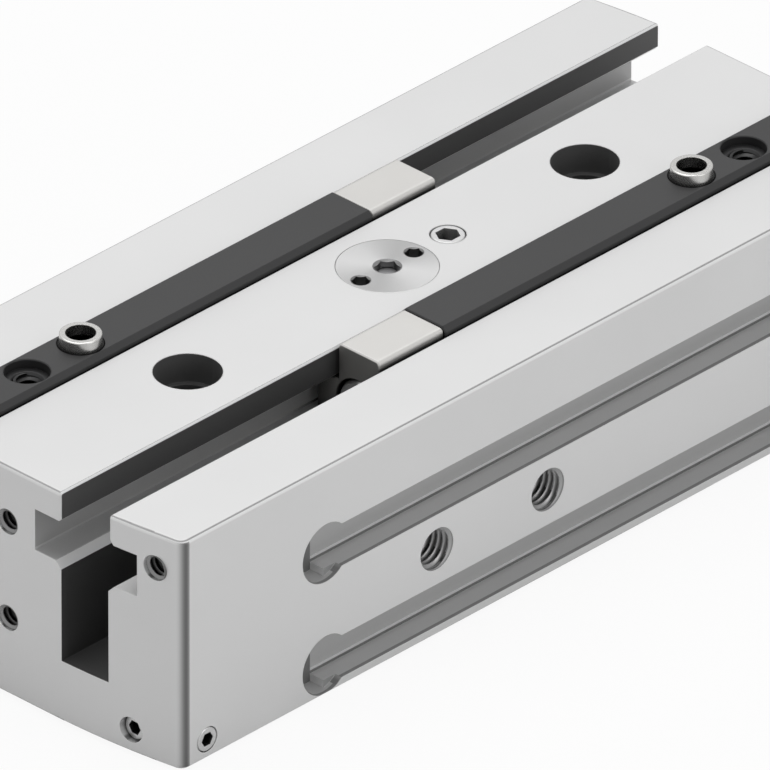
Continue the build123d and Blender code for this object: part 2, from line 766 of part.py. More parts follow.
with BuildPart() as rack:
    with BuildSketch(Plane.XY.offset(flange_bottom)):
        with Locations((rack_middle, (rack_root + rack_back) / 2)):
            Rectangle(rack_length, rack_back - rack_root)
        with Locations((rack_middle, rack_root - rack_tooth_height / 2)):
            with GridLocations(tooth_pitch, 1, rack_teeth, 1):
                Trapezoid(
                    rack_tooth_tip + 2 * rack_tooth_height * tan(radians(pressure_angle)),
                    rack_tooth_height,
                    90 - pressure_angle,
                    rotation=180,
                )
    extrude(amount=flange_height)
    with BuildSketch(rack_screw_plane.offset(-(groove_y + flange_width / 2 - rack_back))):
        with Locations(*rack_screw_places):
            Circle(rack_screw_radius)
    extrude(amount=-rack_screw_bite, mode=Mode.SUBTRACT)
save_pair(rack.part, "rack")

rack_screw_seat = rack_screw_head_height + groove_slack
rack_screws = cap_screws(
    [
        rack_screw_plane.offset(-rack_screw_seat).shift_origin(
            rack_screw_plane.offset(-rack_screw_seat).from_local_coords(place)
        )
        for place in rack_screw_places
    ],
    rack_screw_head_radius,
    rack_screw_head_height,
    rack_screw_radius,
    groove_y + flange_width / 2 - rack_screw_seat - rack_back + rack_screw_bite - groove_slack,
    rack_screw_socket,
)
save_pair(rack_screws, "rack_screws")

# Piston rod a and its screw in the driver block

with BuildPart() as piston_rod:
    with BuildSketch(groove_plane(-piston_inner, 1, cylinder_z)):
        Circle(rod_radius)
    extrude(amount=piston_inner + block_inner)
    chamfer(piston_rod.edges().filter_by(GeomType.CIRCLE), rod_edge_chamfer)
    with BuildSketch(groove_plane(-piston_inner, 1, cylinder_z)):
        Circle(piston_screw_radius)
    extrude(amount=rod_thread_depth, mode=Mode.SUBTRACT)
    with BuildSketch(groove_plane(block_inner, 1, cylinder_z)):
        Circle(rod_screw_radius)
    extrude(amount=-rod_thread_depth, mode=Mode.SUBTRACT)
save_pair(piston_rod.part, "piston_rod")

rod_screw_seat = block_outer - rod_screw_head_height - groove_slack
rod_screw = cap_screws(
    [groove_plane(rod_screw_seat, 1, cylinder_z)],
    rod_screw_head_radius,
    rod_screw_head_height,
    rod_screw_radius,
    rod_screw_seat - block_inner + rod_thread_depth - thread_end_play,
    rod_screw_socket,
)
save_pair(rod_screw, "rod_screw")

# Piston a, with grooves for its guide ring, magnet and seal, counted from the rod's side

piston_plane = groove_plane(-piston_inner, 1, cylinder_z)
piston_radius = cylinder_radius - piston_play
ring_outer = cylinder_radius - piston_seal_play
guide_start = piston_land
magnet_start = guide_start + guide_width + piston_land
seal_start = magnet_start + magnet_width + piston_land
piston_rings = {
    "piston_guide_ring": (guide_start, guide_width, guide_depth, ring_outer),
    "piston_magnet": (magnet_start, magnet_width, piston_groove_depth, piston_radius),
    "piston_seal": (seal_start, piston_seal_width, piston_groove_depth, ring_outer),
}
piston_screw_seat = piston_length - piston_screw_head_height - groove_slack

with BuildPart() as piston:
    with BuildSketch(piston_plane):
        Circle(piston_radius)
    extrude(amount=-piston_length)
    for start, width, depth, outer in piston_rings.values():
        with BuildSketch(piston_plane.offset(-(start - groove_slack))):
            Circle(cylinder_radius)
            Circle(piston_radius - depth, mode=Mode.SUBTRACT)
        extrude(amount=-(width + 2 * groove_slack), mode=Mode.SUBTRACT)
    with BuildSketch(piston_plane):
        Circle(piston_screw_radius)
    extrude(amount=-piston_length, mode=Mode.SUBTRACT)
    with BuildSketch(piston_plane.offset(-piston_screw_seat)):
        Circle(piston_screw_head_radius + groove_slack)
    extrude(amount=-piston_length, mode=Mode.SUBTRACT)
save_pair(piston.part, "piston")

for name, (start, width, depth, outer) in piston_rings.items():
    inner = piston_radius - depth + groove_slack
    save_pair(ring(piston_plane.offset(-start - width), inner, outer, width), name)

piston_screw = cap_screws(
    [-groove_plane(-piston_inner - piston_screw_seat, 1, cylinder_z)],
    piston_screw_head_radius,
    piston_screw_head_height,
    piston_screw_radius,
    piston_screw_seat + rod_thread_depth - thread_end_play,
    piston_screw_socket,
)
save_pair(piston_screw, "piston_screw")
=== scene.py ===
import math

import bmesh
import bpy
from mathutils import Matrix, Vector


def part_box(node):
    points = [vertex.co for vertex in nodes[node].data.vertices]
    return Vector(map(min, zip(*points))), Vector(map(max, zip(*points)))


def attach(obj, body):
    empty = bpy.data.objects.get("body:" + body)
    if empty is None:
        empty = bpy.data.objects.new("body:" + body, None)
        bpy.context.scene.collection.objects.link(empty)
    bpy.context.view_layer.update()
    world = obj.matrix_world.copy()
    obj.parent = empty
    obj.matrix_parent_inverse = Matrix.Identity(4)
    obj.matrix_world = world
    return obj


# Long-stroke parallel gripper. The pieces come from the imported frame, in metres, both jaws open.
# Lengths in the dictionaries are millimetres, unless mm stands beside them.
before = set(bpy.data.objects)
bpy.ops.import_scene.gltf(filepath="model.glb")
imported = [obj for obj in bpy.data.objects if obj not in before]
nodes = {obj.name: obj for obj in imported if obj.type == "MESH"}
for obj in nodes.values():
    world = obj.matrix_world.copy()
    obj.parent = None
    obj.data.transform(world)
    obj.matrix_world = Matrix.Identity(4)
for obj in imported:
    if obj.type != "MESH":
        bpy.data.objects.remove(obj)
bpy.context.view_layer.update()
mm = 0.001
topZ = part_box("housing")[1].z
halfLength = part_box("housing")[1].x
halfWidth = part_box("housing")[1].y
print("frame loaded:", len(nodes), "nodes")


# Node helpers


# An empty node tree with its shader and output, ready to be wired
def newMaterial(name):
    material = bpy.data.materials.new(name)
    material.use_nodes = True
    tree = material.node_tree
    tree.nodes.clear()
    shader = tree.nodes.new("ShaderNodeBsdfPrincipled")
    output = tree.nodes.new("ShaderNodeOutputMaterial")
    tree.links.new(shader.outputs["BSDF"], output.inputs["Surface"])
    return material, tree, shader


def coordinates(tree, kind):
    return tree.nodes.new("ShaderNodeTexCoord").outputs[kind]


def stretched(tree, scale):
    mapping = tree.nodes.new("ShaderNodeMapping")
    mapping.inputs["Scale"].default_value = scale
    tree.links.new(coordinates(tree, "Object"), mapping.inputs["Vector"])
    return mapping.outputs["Vector"]


def noise(tree, vector, scale, detail, roughness):
    node = tree.nodes.new("ShaderNodeTexNoise")
    node.inputs["Scale"].default_value = scale
    node.inputs["Detail"].default_value = detail
    node.inputs["Roughness"].default_value = roughness
    tree.links.new(vector, node.inputs["Vector"])
    return node.outputs["Fac"]


# A value carried from one range to another
def ranged(tree, value, source, target):
    node = tree.nodes.new("ShaderNodeMapRange")
    for name, limit in zip(("From Min", "From Max", "To Min", "To Max"), (*source, *target)):
        node.inputs[name].default_value = limit
    tree.links.new(value, node.inputs["Value"])
    return node.outputs["Result"]


# Tones along a value, one pair of place and colour or grey level per stop
def ramp(tree, value, stops):
    node = tree.nodes.new("ShaderNodeValToRGB")
    while len(node.color_ramp.elements) < len(stops):
        node.color_ramp.elements.new(0.5)
    for element, (place, tone) in zip(node.color_ramp.elements, stops):
        element.position = place
        element.color = (*tone, 1) if isinstance(tone, tuple) else (tone, tone, tone, 1)
    tree.links.new(value, node.inputs["Fac"])
    return node.outputs["Color"]


sampling = {"edges": 4, "shadeInHollows": 8}


# Worn edges catch the light, as on machined and blasted metal
def softEdges(tree, radius):
    node = tree.nodes.new("ShaderNodeBevel")
    node.samples = sampling["edges"]
    node.inputs["Radius"].default_value = radius
    return node.outputs["Normal"]


def bumped(tree, height, distance, normal):
    node = tree.nodes.new("ShaderNodeBump")
    node.inputs["Strength"].default_value = 1.0
    node.inputs["Distance"].default_value = distance
    tree.links.new(height, node.inputs["Height"])
    tree.links.new(normal, node.inputs["Normal"])
    return node.outputs["Normal"]


def tinted(colour, share):
    return tuple(min(1.0, c * share) for c in colour)


# One Math node. Each side is a socket or a number
def maths(tree, operation, first, second=0.0):
    node = tree.nodes.new("ShaderNodeMath")
    node.operation = operation
    for socket, value in zip(node.inputs, (first, second)):
        if isinstance(value, (int, float)):
            socket.default_value = value
        else:
            tree.links.new(value, socket)
    return node.outputs["Value"]


def unsigned(tree, value):
    return maths(tree, "ABSOLUTE", value)


def product(tree, *values):
    result = values[0]
    for value in values[1:]:
        result = maths(tree, "MULTIPLY", result, value)
    return result


# Masks: one where the rule holds, and none elsewhere
def above(tree, value, limit):
    return maths(tree, "GREATER_THAN", value, limit)


def below(tree, value, limit):
    return maths(tree, "LESS_THAN", value, limit)


def between(tree, value, limits):
    low, high = limits
    return product(tree, above(tree, value, low * mm), below(tree, value, high * mm))


# Inside a circle about the point that both lengths are counted from
def within(tree, first, second, radius):
    squares = maths(tree, "ADD", product(tree, first, first), product(tree, second, second))
    return below(tree, squares, radius**2)


def parted(tree, vector):
    node = tree.nodes.new("ShaderNodeSeparateXYZ")
    tree.links.new(vector, node.inputs["Vector"])
    return node.outputs


# Where the shaded point lies, and which way its face looks, each as X, Y and Z
def placeOf(tree):
    return parted(tree, coordinates(tree, "Object"))


def facingOf(tree):
    return parted(tree, coordinates(tree, "Normal"))


def blended(tree, base, other, factor=1.0, mode="MULTIPLY"):
    node = tree.nodes.new("ShaderNodeMix")
    node.data_type = "RGBA"
    node.blend_type = mode
    firstColour, secondColour, result = node.inputs[6], node.inputs[7], node.outputs[2]  # its RGBA sockets
    for socket, value in ((node.inputs[0], factor), (firstColour, base), (secondColour, other)):
        if isinstance(value, (int, float)):
            socket.default_value = value
        elif isinstance(value, tuple):
            socket.default_value = (*value, 1)
        else:
            tree.links.new(value, socket)
    return result


# How much of its normal a face must have along an axis to count as square to it
squareTo = {"side": 0.8, "end": 0.8, "up": 0.9}


# Painted reflections: rounded edges get a bright strip and a dark one painted into their colour, and
# upright corners a dark one
def paintedEdgeReflections(tree, colour, normal, look):
    tilt = parted(tree, normal)
    steepness = unsigned(tree, tilt["Z"])
    place = placeOf(tree)
    cornerLength, cornerWidth = look["cornerZone"]
    corner = product(
        tree,
        above(tree, unsigned(tree, place["X"]), halfLength - cornerLength * mm),
        above(tree, unsigned(tree, place["Y"]), halfWidth - cornerWidth * mm),
        below(tree, steepness, look["cornerSteepness"]),
    )
    toned = blended(tree, colour, ramp(tree, steepness, look["topEdgeReflectionRamp"]))
    toned = blended(tree, toned, ramp(tree, unsigned(tree, tilt["X"]), look["cornerReflectionRamp"]), corner)
    reach = tree.nodes.new("ShaderNodeVectorMath")
    reach.operation = "LENGTH"
    tree.links.new(coordinates(tree, "Object"), reach.inputs[0])
    beyond = above(tree, reach.outputs["Value"], math.hypot(look["plainRadius"] * mm, topZ))
    return blended(tree, colour, toned, beyond, "MIX")


# Painted shade: recesses darken in their colour with how little of the room they see, and where the finish
# asks, their gloss dims with them
def shadeInHollows(tree, shader, colour, look):
    cavity = tree.nodes.new("ShaderNodeAmbientOcclusion")
    cavity.samples = sampling["shadeInHollows"]
    cavity.inputs["Distance"].default_value = look["hollowShadeReach"]
    shade = ramp(tree, cavity.outputs["AO"], look["hollowShadeRamp"])
    if look["glossDimsInShade"]:
        tree.links.new(product(tree, shade, look["specular"]), shader.inputs["Specular IOR Level"])
    if "keyholes" not in look:
        return blended(tree, colour, shade)
    keyholes = look["keyholes"]
    place = placeOf(tree)
    zone = between(tree, unsigned(tree, place["Y"]), keyholes["across"])
    zone = product(tree, zone, above(tree, unsigned(tree, place["X"]), keyholes["beyond"] * mm))
    share = maths(tree, "SUBTRACT", 1.0, product(tree, zone, keyholes["eased"]))
    return blended(tree, colour, shade, share)


# Painted shade: faces that look along X take a darker colour
def endShaded(tree, colour, share):
    end = above(tree, unsigned(tree, facingOf(tree)["X"]), squareTo["end"])
    return blended(tree, colour, (share,) * 3, end)


# Painted light and shade inside the long grooves: flat tones stand in for the colour; each rule is a range
# of |y|, one of z, a facing and a tone
def paintedGrooveShading(tree, colour, look):
    place = placeOf(tree)
    facing = facingOf(tree)
    along = unsigned(tree, place["X"])
    offset = unsigned(tree, place["Y"])
    withinEnds = below(tree, along, halfLength - look["endMargin"] * mm)
    side = above(tree, unsigned(tree, facing["Y"]), squareTo["side"])
    teeWallShade = look["teeWallShade"]
    fade = ranged(tree, along, (teeWallShade["from"] * mm, teeWallShade["to"] * mm), (1.0, teeWallShade["share"]))
    facings = {
        "side": side,
        "wall": side,
        "step": product(tree, side, withinEnds),
        "end": product(tree, above(tree, unsigned(tree, facing["X"]), squareTo["end"]), withinEnds),
        "up": above(tree, facing["Z"], squareTo["up"]),
    }
    for across, heights, way, tone in look["grooveShadeRules"]:
        box = product(tree, between(tree, offset, across), between(tree, place["Z"], heights))
        shade = product(tree, fade, tone) if way == "wall" else (tone,) * 3
        colour = blended(tree, colour, shade, product(tree, box, facings[way]), "MIX")
    return colour


# Painted shade: the bores through the housing are painted dark down to the floor
def paintedBoreShade(tree, colour, look):
    place = placeOf(tree)
    along = maths(tree, "SUBTRACT", unsigned(tree, place["X"]), look["station"] * mm)
    inside = within(tree, along, place["Y"], look["radius"] * mm)
    deep = below(tree, place["Z"], look["under"] * mm)
    return blended(tree, colour, (look["tone"],) * 3, product(tree, inside, deep), "MIX")


# What a finish has where its own dictionary says nothing else
usualLook = {
    "stretch": (1, 1, 1),
    "grainDetail": 4.0,
    "grainRoughness": 0.7,
    "grainRange": (0.3, 0.7),  # most of the noise lies in here
    "roughnessSpread": 0.04,
    "cloudScale": 60,
    "cloudDetail": 2.0,
    "cloudRoughness": 0.5,
    "cloudRange": (0.32, 0.68),
    "contrast": 0.03,
    "edge": 0.12 * mm,
    "specular": 0.5,
    "glossDimsInShade": False,  # whether the gloss dims with the painted shade in hollows
}


# A colour that goes from a little darker to a little lighter with the value
def mottled(tree, value, look):
    tones = [tinted(look["colour"], 1 + way * look["contrast"]) for way in (-1, 1)]
    return ramp(tree, value, list(zip(look["cloudRange"], tones)))


# Metal with fine grain, cloudy tone and softened edges, and, where its finish asks, painted reflections on
# edges and painted light and shade in hollows, grooves, bores, ends and below a height. Finish is one of
# the dictionaries below
def metal(name, finish):
    look = {**usualLook, **finish}
    material, tree, shader = newMaterial(name)
    grained = stretched(tree, look["stretch"])
    grain = noise(tree, grained, look["grainScale"], look["grainDetail"], look["grainRoughness"])
    plain = coordinates(tree, "Object")
    clouds = noise(tree, plain, look["cloudScale"], look["cloudDetail"], look["cloudRoughness"])
    colour = mottled(tree, clouds, look)
    edges = softEdges(tree, look["edge"])
    if "topEdgeReflectionRamp" in look:
        colour = paintedEdgeReflections(tree, colour, edges, look)
    if "hollowShadeRamp" in look:
        colour = shadeInHollows(tree, shader, colour, look)
    # Painted shade on the part below a given height
    if "footShadeBelow" in look:
        shadedFoot = below(tree, placeOf(tree)["Z"], look["footShadeBelow"])
        colour = blended(tree, colour, (look["footShadeTone"],) * 3, shadedFoot, "MIX")
    if "endShade" in look:
        colour = endShaded(tree, colour, look["endShade"])
    if "grooveShadeRules" in look:
        colour = paintedGrooveShading(tree, colour, look)
        colour = paintedBoreShade(tree, colour, look["bores"])
    tree.links.new(colour, shader.inputs["Base Color"])
    low = look["roughness"] - look["roughnessSpread"]
    high = look["roughness"] + look["roughnessSpread"]
    tree.links.new(ranged(tree, grain, look["grainRange"], (low, high)), shader.inputs["Roughness"])
    shader.inputs["Metallic"].default_value = look["metallic"]
    shader.inputs["Specular IOR Level"].default_value = look["specular"]
    tree.links.new(bumped(tree, grain, look["bump"], edges), shader.inputs["Normal"])
    return material


# Finishes

blastedAluminium = {
    "colour": (0.78, 0.78, 0.78),
    "metallic": 0.35,
    "roughness": 0.5,
    "grainScale": 5200,
    "bump": 0.004 * mm,
    "contrast": 0.012,
    "edge": 0.14 * mm,
    # painted reflections on the rounded edges: a bright strip and a dark one, by how steep the face stands
    "topEdgeReflectionRamp": [(0.02, 1.0), (0.25, 1.15), (0.71, 1.15), (0.82, 0.4), (0.93, 0.4), (0.985, 1.0)],
    "cornerReflectionRamp": [  # painted dark reflection on upright corners, by how far they face the end
        (0.0, 1.0),
        (0.04, 0.62),
        (0.1, 0.4),
        (0.2, 0.26),
        (0.34, 0.19),
        (0.48, 0.25),
        (0.61, 0.4),
        (0.74, 0.65),
        (0.86, 0.88),
        (0.95, 1.0),
    ],
    "cornerZone": (4, 2.2),  # how far a corner reaches along and across the housing
    "cornerSteepness": 0.5,  # and how far its faces may lean
    "plainRadius": 7.0,  # round the disc cover the edges stay plain
    "hollowShadeReach": 6 * mm,
    "hollowShadeRamp": [(0.06, 0.04), (0.45, 1.0)],
    "keyholes": {"across": (20.7, 24.15), "beyond": 25, "eased": 0.7},  # they lie open, so the painted shade there is eased
    # painted shade in the grooves, and painted light on the sensor ledge and the keyhole's end
    "grooveShadeRules": [
        ((3.9, 18.4), (24.75, 28.05), "side", 0.11),  # lip
        ((3.9, 18.4), (20.1, 24.7), "wall", 0.68),  # wall of the tee
        ((3.9, 18.4), (19.7, 20.1), "up", 0.66),  # floor of the tee
        ((3.9, 18.4), (7.6, 19.7), "side", 0.085),  # wall of the deep slot
        ((3.9, 18.4), (7.5, 7.9), "up", 0.1),  # floor of the deep slot
        ((20.8, 21.1), (0, 21), "side", 0.5),  # back of a sensor groove
        ((21.1, 21.4), (0, 21), "side", 0.2),  # strip beside its ledge
        ((20.8, 21.22), (0, 21), "up", 0.95),  # ledge
        ((21.22, 23.7), (0, 21), "up", 0.68),  # floor
        ((23.7, 24.15), (0, 21), "up", 0.35),  # the floor's outer rim
        ((21.4, 24.1), (0, 21), "step", 0.4),  # the step's end in a keyhole
        ((20.8, 24.1), (0, 21), "end", 0.9),  # the keyhole's own end
    ],
    "endMargin": 3,  # steps and ends count up to this far from the housing's ends
    "teeWallShade": {"from": 44, "to": 57.7, "share": 0.78},  # painted shade: the tee's wall dims along |x|
    "bores": {"station": 30.45, "radius": 3.8, "under": 28.25, "tone": 0.15},
}
blackAnodised = {
    "colour": (0.034, 0.034, 0.035),
    "metallic": 0.0,
    "roughness": 0.42,
    "grainScale": 6500,
    "bump": 0.002 * mm,
    "contrast": 0.05,
    "specular": 0.4,
    "edge": 0.12 * mm,
    "hollowShadeReach": 3 * mm,
    "hollowShadeRamp": [(0.22, 0.05), (0.62, 1.0)],
    "glossDimsInShade": True,
}
nickelCoat = {
    "colour": (0.68, 0.67, 0.65),
    "metallic": 0.6,
    "roughness": 0.4,
    "grainScale": 4200,
    "bump": 0.003 * mm,
    "contrast": 0.015,
    "cloudScale": 180,
    "endShade": 0.5,  # painted shade, as the ends stand in the groove's shade
    "hollowShadeReach": 5 * mm,
    "hollowShadeRamp": [(0.3, 0.04), (0.8, 1.0)],
}
groundSteel = {
    "colour": (0.62, 0.615, 0.6),
    "metallic": 1.0,
    "roughness": 0.26,
    "grainScale": 5000,
    "stretch": (1, 1, 9),
    "bump": 0.0001 * mm,
    "edge": 0.08 * mm,
    "hollowShadeReach": 2.5 * mm,
    "hollowShadeRamp": [(0.3, 0.04), (0.72, 1.0)],
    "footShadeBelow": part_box("jaw_slide_a")[1].z + 0.03 * mm,  # painted shade on the foot in its seat
    "footShadeTone": 0.015,
}
zincScrew = {
    "colour": (0.72, 0.72, 0.72),
    "metallic": 0.9,
    "roughness": 0.3,
    "grainScale": 5200,
    "bump": 0.003 * mm,
    "edge": 0.08 * mm,
    "hollowShadeReach": 2 * mm,
    "hollowShadeRamp": [(0.3, 0.08), (0.75, 1.0)],
}
blackOxide = {
    "colour": (0.06, 0.06, 0.062),
    "metallic": 0.6,
    "roughness": 0.38,
    "grainScale": 5200,
    "bump": 0.003 * mm,
    "edge": 0.06 * mm,
}
oiledGearSteel = {
    "colour": (0.42, 0.42, 0.43),
    "metallic": 1.0,
    "roughness": 0.3,
    "grainScale": 2600,
    "stretch": (1, 1, 12),
    "bump": 0.002 * mm,
    "edge": 0.06 * mm,
}
hardChrome = {
    "colour": (0.72, 0.72, 0.73),
    "metallic": 1.0,
    "roughness": 0.14,
    "grainScale": 2600,
    "stretch": (1, 40, 40),
    "bump": 0.0008 * mm,
    "edge": 0.08 * mm,
}
turnedAluminium = {
    "colour": (0.6, 0.6, 0.61),
    "metallic": 0.85,
    "roughness": 0.34,
    "grainScale": 2400,
    "stretch": (14, 1, 1),
    "bump": 0.002 * mm,
    "edge": 0.08 * mm,
}
sinteredBronze = {
    "colour": (0.5, 0.33, 0.16),
    "metallic": 0.85,
    "roughness": 0.46,
    "grainScale": 3600,
    "bump": 0.005 * mm,
    "contrast": 0.1,
    "edge": 0.06 * mm,
}
phosphatedSteel = {
    "colour": (0.14, 0.14, 0.145),
    "metallic": 0.7,
    "roughness": 0.45,
    "grainScale": 5200,
    "bump": 0.004 * mm,
    "contrast": 0.08,
    "edge": 0.06 * mm,
}
sealRubber = {
    "colour": (0.02, 0.02, 0.021),
    "metallic": 0.0,
    "roughness": 0.62,
    "grainScale": 3000,
    "bump": 0.006 * mm,
    "contrast": 0.1,
    "specular": 0.4,
}
bondedFerrite = {
    "colour": (0.075, 0.072, 0.07),
    "metallic": 0.0,
    "roughness": 0.55,
    "grainScale": 4200,
    "bump": 0.005 * mm,
    "contrast": 0.12,
}
filledPlastic = {
    "colour": (0.46, 0.44, 0.39),
    "metallic": 0.0,
    "roughness": 0.5,
    "grainScale": 3000,
    "bump": 0.004 * mm,
    "contrast": 0.06,
}
turnedDisc = {
    "colour": (0.55, 0.55, 0.55),
    "holeWallShade": 0.45,  # painted shade on the mouths and walls of its holes
    "rimReach": 5.5 * mm,
    "roughness": 0.36,
    "anisotropic": 0.35,
    "ringScale": 5200,
    "ringDepth": 0.0012 * mm,
    "ringWobble": 1.5,
    "ringDetail": 2.0,
    "contrast": 0.03,
    "edge": 0.08 * mm,
    "fanCount": 2,
    "fanTurn": math.radians(-110),
    "sheenFanRamp": [(0.1, 0.86), (0.9, 1.1)],
}


# Painted sheen: a pair of bright fans painted into the faced disc's colour
def paintedSheenFans(tree, colour, look):
    sweep = tree.nodes.new("ShaderNodeTexGradient")
    sweep.gradient_type = "RADIAL"
    tree.links.new(coordinates(tree, "Object"), sweep.inputs["Vector"])
    angle = product(tree, sweep.outputs["Fac"], look["fanCount"] * 2 * math.pi)
    wave = maths(tree, "SINE", maths(tree, "ADD", angle, look["fanTurn"]))
    level = maths(tree, "ADD", product(tree, wave, 0.5), 0.5)
    return blended(tree, colour, ramp(tree, level, look["sheenFanRamp"]))


# Rings from the lathe tool about the Z axis
def latheRings(tree, look):
    rings = tree.nodes.new("ShaderNodeTexWave")
    rings.wave_type = "RINGS"
    rings.rings_direction = "Z"
    rings.inputs["Scale"].default_value = look["ringScale"]
    rings.inputs["Distortion"].default_value = look["ringWobble"]
    rings.inputs["Detail"].default_value = look["ringDetail"]
    tree.links.new(coordinates(tree, "Object"), rings.inputs["Vector"])
    return rings.outputs["Fac"]


# A faced disc with its rings, the sheen that they give, a painted sheen in two fans, and painted shade on
# the walls in its holes
def turnedFace(name, finish):
    look = {**usualLook, **finish}
    material, tree, shader = newMaterial(name)
    rings = latheRings(tree, look)
    colour = paintedSheenFans(tree, mottled(tree, rings, look), look)
    place = placeOf(tree)
    inside = within(tree, place["X"], place["Y"], look["rimReach"])
    rim = product(tree, below(tree, facingOf(tree)["Z"], squareTo["up"]), inside)
    tree.links.new(blended(tree, colour, (look["holeWallShade"],) * 3, rim), shader.inputs["Base Color"])
    shader.inputs["Metallic"].default_value = 1.0
    shader.inputs["Roughness"].default_value = look["roughness"]
    shader.inputs["Anisotropic"].default_value = look["anisotropic"]
    tangent = tree.nodes.new("ShaderNodeTangent")
    tangent.direction_type = "RADIAL"
    tangent.axis = "Z"
    tree.links.new(tangent.outputs["Tangent"], shader.inputs["Tangent"])
    normal = bumped(tree, rings, look["ringDepth"], softEdges(tree, look["edge"]))
    tree.links.new(normal, shader.inputs["Normal"])
    return material


finishes = {
    "housing": metal("blastedAluminium", blastedAluminium),
    "jaw_slide": metal("blackAnodised", blackAnodised),
    "driver_block": metal("nickelCoat", nickelCoat),
    "driver_screw": metal("zincScrew", zincScrew),
    "centring_sleeve": metal("groundSteel", groundSteel),
    "pinion_cover": turnedFace("turnedCover", turnedDisc),
    "rack_screws": metal("blackOxide", blackOxide),
    "pinion": metal("oiledGearSteel", oiledGearSteel),
    "piston_rod": metal("hardChrome", hardChrome),
    "piston": metal("turnedAluminium", turnedAluminium),
    "pinion_bush": metal("sinteredBronze", sinteredBronze),
    "cap_retaining_ring": metal("phosphatedSteel", phosphatedSteel),
    "piston_seal": metal("sealRubber", sealRubber),
    "piston_magnet": metal("bondedFerrite", bondedFerrite),
    "piston_guide_ring": metal("filledPlastic", filledPlastic),
}
sameFinishAs = {
    "cover_grub_screw": "driver_screw",
    "side_duct_plugs": "driver_screw",
    "end_duct_plugs": "driver_screw",
    "rod_screw": "rack_screws",
    "piston_screw": "rack_screws",
    "rack": "pinion",
    "pinion_axle": "pinion",
    "pinion_washers": "pinion_bush",
    "cylinder_cap": "piston",
    "rod_gland": "piston",
    "cap_seal": "piston_seal",
    "gland_seal": "piston_seal",
    "rod_seal": "piston_seal",
}


# The node's name without the letter of its jaw
def pieceKind(nodeName):
    return nodeName[:-2] if nodeName[-2:] in ("_a", "_b") else nodeName


for nodeName, node in nodes.items():
    kind = pieceKind(nodeName)
    node.data.materials.clear()
    node.data.materials.append(finishes[sameFinishAs.get(kind, kind)])
print("finishes on", len(nodes), "nodes")


# Threads: one helical ridge inside each tapped hole, from the wall to the minor radius

threads = {
    "m3": {"radius": 1.5, "pitch": 0.7, "length": 4.0},
    "m5": {"radius": 2.5, "pitch": 0.8, "length": 5.0},
    "segments": 40,
    "lead": 0.03,  # where the ridge starts below the mouth
    "mouthGap": 0.01,  # and what it always leaves there
    "rootOverlap": 0.02,
    "depthShare": 0.54,  # depth and half widths, as shares of the pitch
    "rootShare": 0.42,
    "crestShare": 0.07,
    "risingFrom": 2,  # the ridge grows and ends over these numbers of segments
    "risingSegments": 14,
    "fallingSegments": 12,
    "leastHeight": 0.05,  # share of the full height at its two ends
    "sharpFrom": math.radians(35),
}


# The ridge's four corners in one cut, as radius and height. Along is where the cut lies in the hole
def ridgeCut(size, along, ease):
    pitch = size["pitch"]
    wall = size["radius"] + threads["rootOverlap"]
    crest = size["radius"] - threads["depthShare"] * pitch
    tip = wall - (wall - crest) * max(ease, threads["leastHeight"])
    room = -along - threads["mouthGap"]
    return [
        (wall, along + min(threads["rootShare"] * pitch, room)),
        (tip, along + min(threads["crestShare"] * pitch, 0.5 * room)),
        (tip, along - threads["crestShare"] * pitch),
        (wall, along - threads["rootShare"] * pitch),
    ]


# A ridge that winds from just inside the mouth down the hole. Direction points out of the hole
def threadRidge(name, mouth, direction, size, body, material):
    outward = Vector(direction).normalized()
    side = outward.orthogonal().normalized()
    other = outward.cross(side)
    segments = threads["segments"]
    steps = int((size["length"] - threads["lead"]) / size["pitch"] * segments)
    mesh = bmesh.new()
    loops = []
    for step in range(steps + 1):
        angle = 2 * math.pi * step / segments
        radial = side * math.cos(angle) + other * math.sin(angle)
        along = -threads["lead"] - size["pitch"] * step / segments
        rising = (step + threads["risingFrom"]) / threads["risingSegments"]
        falling = (steps - step) / threads["fallingSegments"]
        loop = []
        for radius, height in ridgeCut(size, along, min(1.0, rising, falling)):
            point = Vector(mouth) + radial * (radius * mm) + outward * (height * mm)
            loop.append(mesh.verts.new(point))
        loops.append(loop)
    for near, far in zip(loops, loops[1:]):
        for i in range(len(near)):
            j = (i + 1) % len(near)
            mesh.faces.new((near[i], near[j], far[j], far[i]))
    mesh.faces.new(loops[0][::-1])
    mesh.faces.new(loops[-1])
    bmesh.ops.recalc_face_normals(mesh, faces=mesh.faces)
    data = bpy.data.meshes.new(name)
    mesh.to_mesh(data)
    mesh.free()
    data.shade_smooth()
    data.set_sharp_from_angle(angle=threads["sharpFrom"])
    piece = bpy.data.objects.new(name, data)
    bpy.context.scene.collection.objects.link(piece)
    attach(piece, body)
    data.materials.append(material)


# Painted shade: the housing's aluminium in a darker copy, for the ridges down in their holes
shadedThreadAluminium = {
    **blastedAluminium,
    "metallic": 0.9,
    "roughness": 0.35,
    "colour": (0.26, 0.26, 0.26),
    "hollowShadeReach": 3 * mm,
    "hollowShadeRamp": [(0.12, 0.03), (0.6, 1.0)],
}
shadedThreadMetal = metal("shadedThreadAluminium", shadedThreadAluminium)
tappedBlack = metal("tappedBlack", {**blackAnodised, "roughness": 0.3})


endFace = {
    "flatHalf": 6.0,  # flat in the middle, then bowed back
    "bowRadius": 106.0,
    "threads": [(0.0, -6.75), (0.0, -18.6), (20.7, -4.2), (-20.7, -4.2)],  # y, and z from the top
}


# Where the end face stands along X at this distance across the housing
def endFaceX(y):
    beyondFlat = max(0.0, abs(y) - endFace["flatHalf"])
    radius = endFace["bowRadius"]
    return halfLength - (radius - math.sqrt(radius**2 - beyondFlat**2)) * mm


